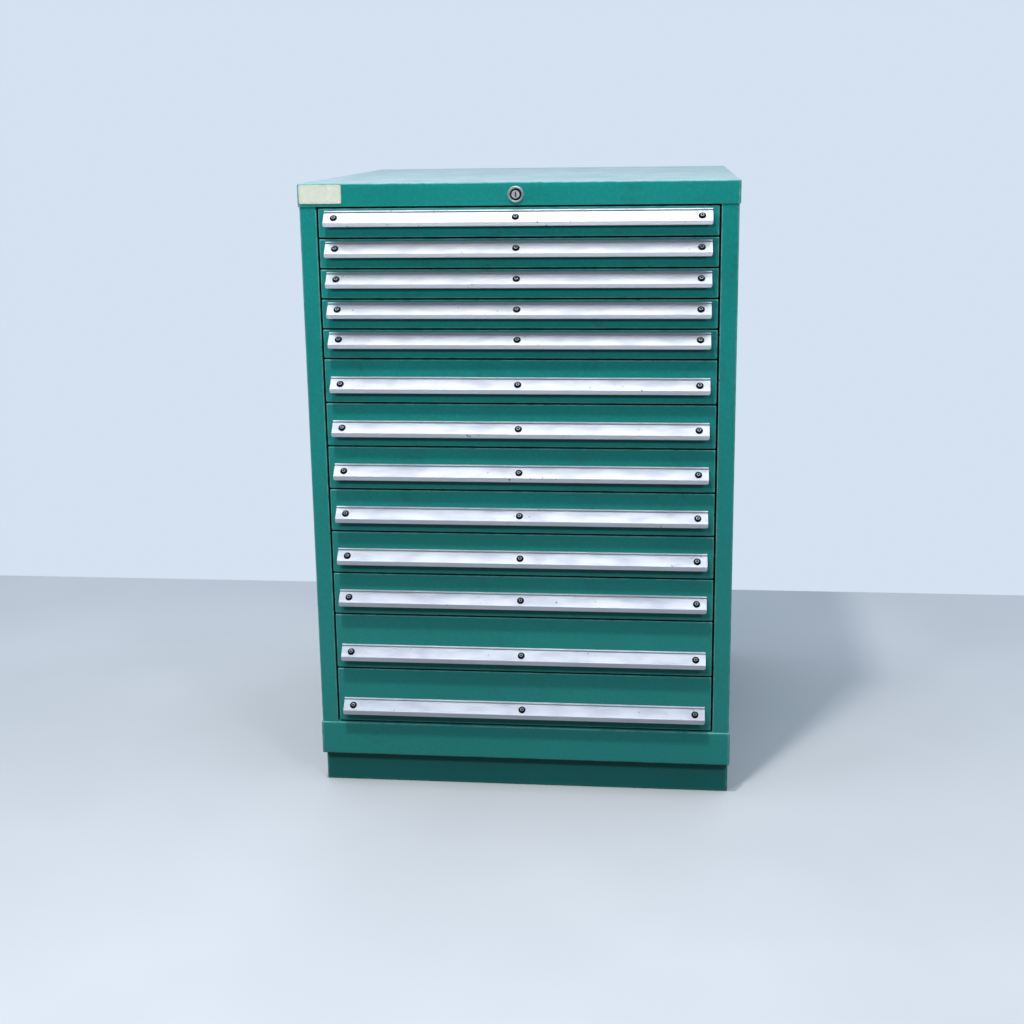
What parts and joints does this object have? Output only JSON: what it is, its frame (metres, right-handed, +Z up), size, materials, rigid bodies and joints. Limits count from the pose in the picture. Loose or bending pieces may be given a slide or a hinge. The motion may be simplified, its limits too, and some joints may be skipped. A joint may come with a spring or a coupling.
{
  "type": "metal drawer cabinet",
  "caption": "Tall free-standing steel cabinet on a plinth, filled with shallow full-extension drawers that have extruded aluminium handles; central lock in the header.",
  "frame": {"origin": "on the floor, under the middle of the whole cabinet with its handles", "axes": "+X to the right seen from the front, +Y to the back, +Z up; drawers open towards -Y"},
  "size_m": [0.72, 0.741, 1.06],
  "materials": {
    "green_paint": "semi-gloss green enamel, worn at the edges",
    "aluminium": "satin, drawn along the handle",
    "zinc_plate": "zinc plated",
    "chrome": "polished",
    "black_screw": "black oxide",
    "roller_plastic": "moulded nylon",
    "cream_plate": "satin"
  },
  "bodies": {
    "cabinet": {"left_side_panel": "green_paint", "right_side_panel": "green_paint", "back_panel": "green_paint", "top_cap": "green_paint", "base_pan": "green_paint", "plinth": "green_paint", "left_uprights": "zinc_plate", "right_uprights": "zinc_plate", "left_rails": "zinc_plate", "right_rails": "zinc_plate", "lock_housing": "chrome", "lock_nut": "zinc_plate", "lock_link_guides": "zinc_plate", "lock_bar_guides": "zinc_plate", "label_plate": "cream_plate", "back_screws": "zinc_plate", "base_bolts": "zinc_plate"},
    "lock_plug": {"lock_plug": "chrome", "lock_cam": "zinc_plate"},
    "lock_link": {"lock_link": "zinc_plate"},
    "lock_bar": {"lock_bar": "zinc_plate"},
    "drawer_01": {"drawer_01_tray": "green_paint", "drawer_01_handle": "aluminium"},
    "carriages_01": {"drawer_01_carriages": "zinc_plate"},
    "drawer_02": {"drawer_02_tray": "green_paint", "drawer_02_handle": "aluminium"},
    "carriages_02": {"drawer_02_carriages": "zinc_plate"},
    "drawer_03": {"drawer_03_tray": "green_paint", "drawer_03_handle": "aluminium"},
    "carriages_03": {"drawer_03_carriages": "zinc_plate"},
    "drawer_04": {"drawer_04_tray": "green_paint", "drawer_04_handle": "aluminium"},
    "carriages_04": {"drawer_04_carriages": "zinc_plate"},
    "drawer_05": {"drawer_05_tray": "green_paint", "drawer_05_handle": "aluminium"},
    "carriages_05": {"drawer_05_carriages": "zinc_plate"},
    "drawer_06": {"drawer_06_tray": "green_paint", "drawer_06_handle": "aluminium"},
    "carriages_06": {"drawer_06_carriages": "zinc_plate"},
    "drawer_07": {"drawer_07_tray": "green_paint", "drawer_07_handle": "aluminium"},
    "carriages_07": {"drawer_07_carriages": "zinc_plate"},
    "drawer_08": {"drawer_08_tray": "green_paint", "drawer_08_handle": "aluminium"},
    "carriages_08": {"drawer_08_carriages": "zinc_plate"},
    "drawer_09": {"drawer_09_tray": "green_paint", "drawer_09_handle": "aluminium"},
    "carriages_09": {"drawer_09_carriages": "zinc_plate"},
    "drawer_10": {"drawer_10_tray": "green_paint", "drawer_10_handle": "aluminium"},
    "carriages_10": {"drawer_10_carriages": "zinc_plate"},
    "drawer_11": {"drawer_11_tray": "green_paint", "drawer_11_handle": "aluminium"},
    "carriages_11": {"drawer_11_carriages": "zinc_plate"},
    "drawer_12": {"drawer_12_tray": "green_paint", "drawer_12_handle": "aluminium"},
    "carriages_12": {"drawer_12_carriages": "zinc_plate"},
    "drawer_13": {"drawer_13_tray": "green_paint", "drawer_13_handle": "aluminium"},
    "carriages_13": {"drawer_13_carriages": "zinc_plate"}
  },
  "joints": [
    {"name": "lock_turn", "type": "hinge", "parent": "cabinet", "child": "lock_plug", "pos_m": [0, -0.3515, 1.04], "axis": [0, 1, 0], "range_deg": [0, 90]},
    {"name": "lock_link_slide", "type": "slide", "parent": "cabinet", "child": "lock_link", "axis": [-1, 0, 0], "range_m": [0, 0.01415]},
    {"name": "lock_bar_slide", "type": "slide", "parent": "cabinet", "child": "lock_bar", "axis": [0, 0, 1], "range_m": [0, 0.007]},
    {"name": "drawer_01_slide", "type": "slide", "parent": "cabinet", "child": "drawer_01", "axis": [0, -1, 0], "range_m": [0, 0.6]},
    {"name": "carriages_01_slide", "type": "slide", "parent": "cabinet", "child": "carriages_01", "axis": [0, -1, 0], "range_m": [0, 0.3]},
    {"name": "drawer_02_slide", "type": "slide", "parent": "cabinet", "child": "drawer_02", "axis": [0, -1, 0], "range_m": [0, 0.6]},
    {"name": "carriages_02_slide", "type": "slide", "parent": "cabinet", "child": "carriages_02", "axis": [0, -1, 0], "range_m": [0, 0.3]},
    {"name": "drawer_03_slide", "type": "slide", "parent": "cabinet", "child": "drawer_03", "axis": [0, -1, 0], "range_m": [0, 0.6]},
    {"name": "carriages_03_slide", "type": "slide", "parent": "cabinet", "child": "carriages_03", "axis": [0, -1, 0], "range_m": [0, 0.3]},
    {"name": "drawer_04_slide", "type": "slide", "parent": "cabinet", "child": "drawer_04", "axis": [0, -1, 0], "range_m": [0, 0.6]},
    {"name": "carriages_04_slide", "type": "slide", "parent": "cabinet", "child": "carriages_04", "axis": [0, -1, 0], "range_m": [0, 0.3]},
    {"name": "drawer_05_slide", "type": "slide", "parent": "cabinet", "child": "drawer_05", "axis": [0, -1, 0], "range_m": [0, 0.6]},
    {"name": "carriages_05_slide", "type": "slide", "parent": "cabinet", "child": "carriages_05", "axis": [0, -1, 0], "range_m": [0, 0.3]},
    {"name": "drawer_06_slide", "type": "slide", "parent": "cabinet", "child": "drawer_06", "axis": [0, -1, 0], "range_m": [0, 0.6]},
    {"name": "carriages_06_slide", "type": "slide", "parent": "cabinet", "child": "carriages_06", "axis": [0, -1, 0], "range_m": [0, 0.3]},
    {"name": "drawer_07_slide", "type": "slide", "parent": "cabinet", "child": "drawer_07", "axis": [0, -1, 0], "range_m": [0, 0.6]},
    {"name": "carriages_07_slide", "type": "slide", "parent": "cabinet", "child": "carriages_07", "axis": [0, -1, 0], "range_m": [0, 0.3]},
    {"name": "drawer_08_slide", "type": "slide", "parent": "cabinet", "child": "drawer_08", "axis": [0, -1, 0], "range_m": [0, 0.6]},
    {"name": "carriages_08_slide", "type": "slide", "parent": "cabinet", "child": "carriages_08", "axis": [0, -1, 0], "range_m": [0, 0.3]},
    {"name": "drawer_09_slide", "type": "slide", "parent": "cabinet", "child": "drawer_09", "axis": [0, -1, 0], "range_m": [0, 0.6]},
    {"name": "carriages_09_slide", "type": "slide", "parent": "cabinet", "child": "carriages_09", "axis": [0, -1, 0], "range_m": [0, 0.3]},
    {"name": "drawer_10_slide", "type": "slide", "parent": "cabinet", "child": "drawer_10", "axis": [0, -1, 0], "range_m": [0, 0.6]},
    {"name": "carriages_10_slide", "type": "slide", "parent": "cabinet", "child": "carriages_10", "axis": [0, -1, 0], "range_m": [0, 0.3]},
    {"name": "drawer_11_slide", "type": "slide", "parent": "cabinet", "child": "drawer_11", "axis": [0, -1, 0], "range_m": [0, 0.6]},
    {"name": "carriages_11_slide", "type": "slide", "parent": "cabinet", "child": "carriages_11", "axis": [0, -1, 0], "range_m": [0, 0.3]},
    {"name": "drawer_12_slide", "type": "slide", "parent": "cabinet", "child": "drawer_12", "axis": [0, -1, 0], "range_m": [0, 0.6]},
    {"name": "carriages_12_slide", "type": "slide", "parent": "cabinet", "child": "carriages_12", "axis": [0, -1, 0], "range_m": [0, 0.3]},
    {"name": "drawer_13_slide", "type": "slide", "parent": "cabinet", "child": "drawer_13", "axis": [0, -1, 0], "range_m": [0, 0.6]},
    {"name": "carriages_13_slide", "type": "slide", "parent": "cabinet", "child": "carriages_13", "axis": [0, -1, 0], "range_m": [0, 0.3]}
  ],
  "couplings": [
    {"joint": "lock_turn", "follows": "lock_bar_slide", "rad_per_m": 224.39},
    {"joint": "lock_link_slide", "follows": "lock_bar_slide", "ratio": 2.0204},
    {"joint": "carriages_01_slide", "follows": "drawer_01_slide", "ratio": 0.5},
    {"joint": "carriages_02_slide", "follows": "drawer_02_slide", "ratio": 0.5},
    {"joint": "carriages_03_slide", "follows": "drawer_03_slide", "ratio": 0.5},
    {"joint": "carriages_04_slide", "follows": "drawer_04_slide", "ratio": 0.5},
    {"joint": "carriages_05_slide", "follows": "drawer_05_slide", "ratio": 0.5},
    {"joint": "carriages_06_slide", "follows": "drawer_06_slide", "ratio": 0.5},
    {"joint": "carriages_07_slide", "follows": "drawer_07_slide", "ratio": 0.5},
    {"joint": "carriages_08_slide", "follows": "drawer_08_slide", "ratio": 0.5},
    {"joint": "carriages_09_slide", "follows": "drawer_09_slide", "ratio": 0.5},
    {"joint": "carriages_10_slide", "follows": "drawer_10_slide", "ratio": 0.5},
    {"joint": "carriages_11_slide", "follows": "drawer_11_slide", "ratio": 0.5},
    {"joint": "carriages_12_slide", "follows": "drawer_12_slide", "ratio": 0.5},
    {"joint": "carriages_13_slide", "follows": "drawer_13_slide", "ratio": 0.5}
  ]
}
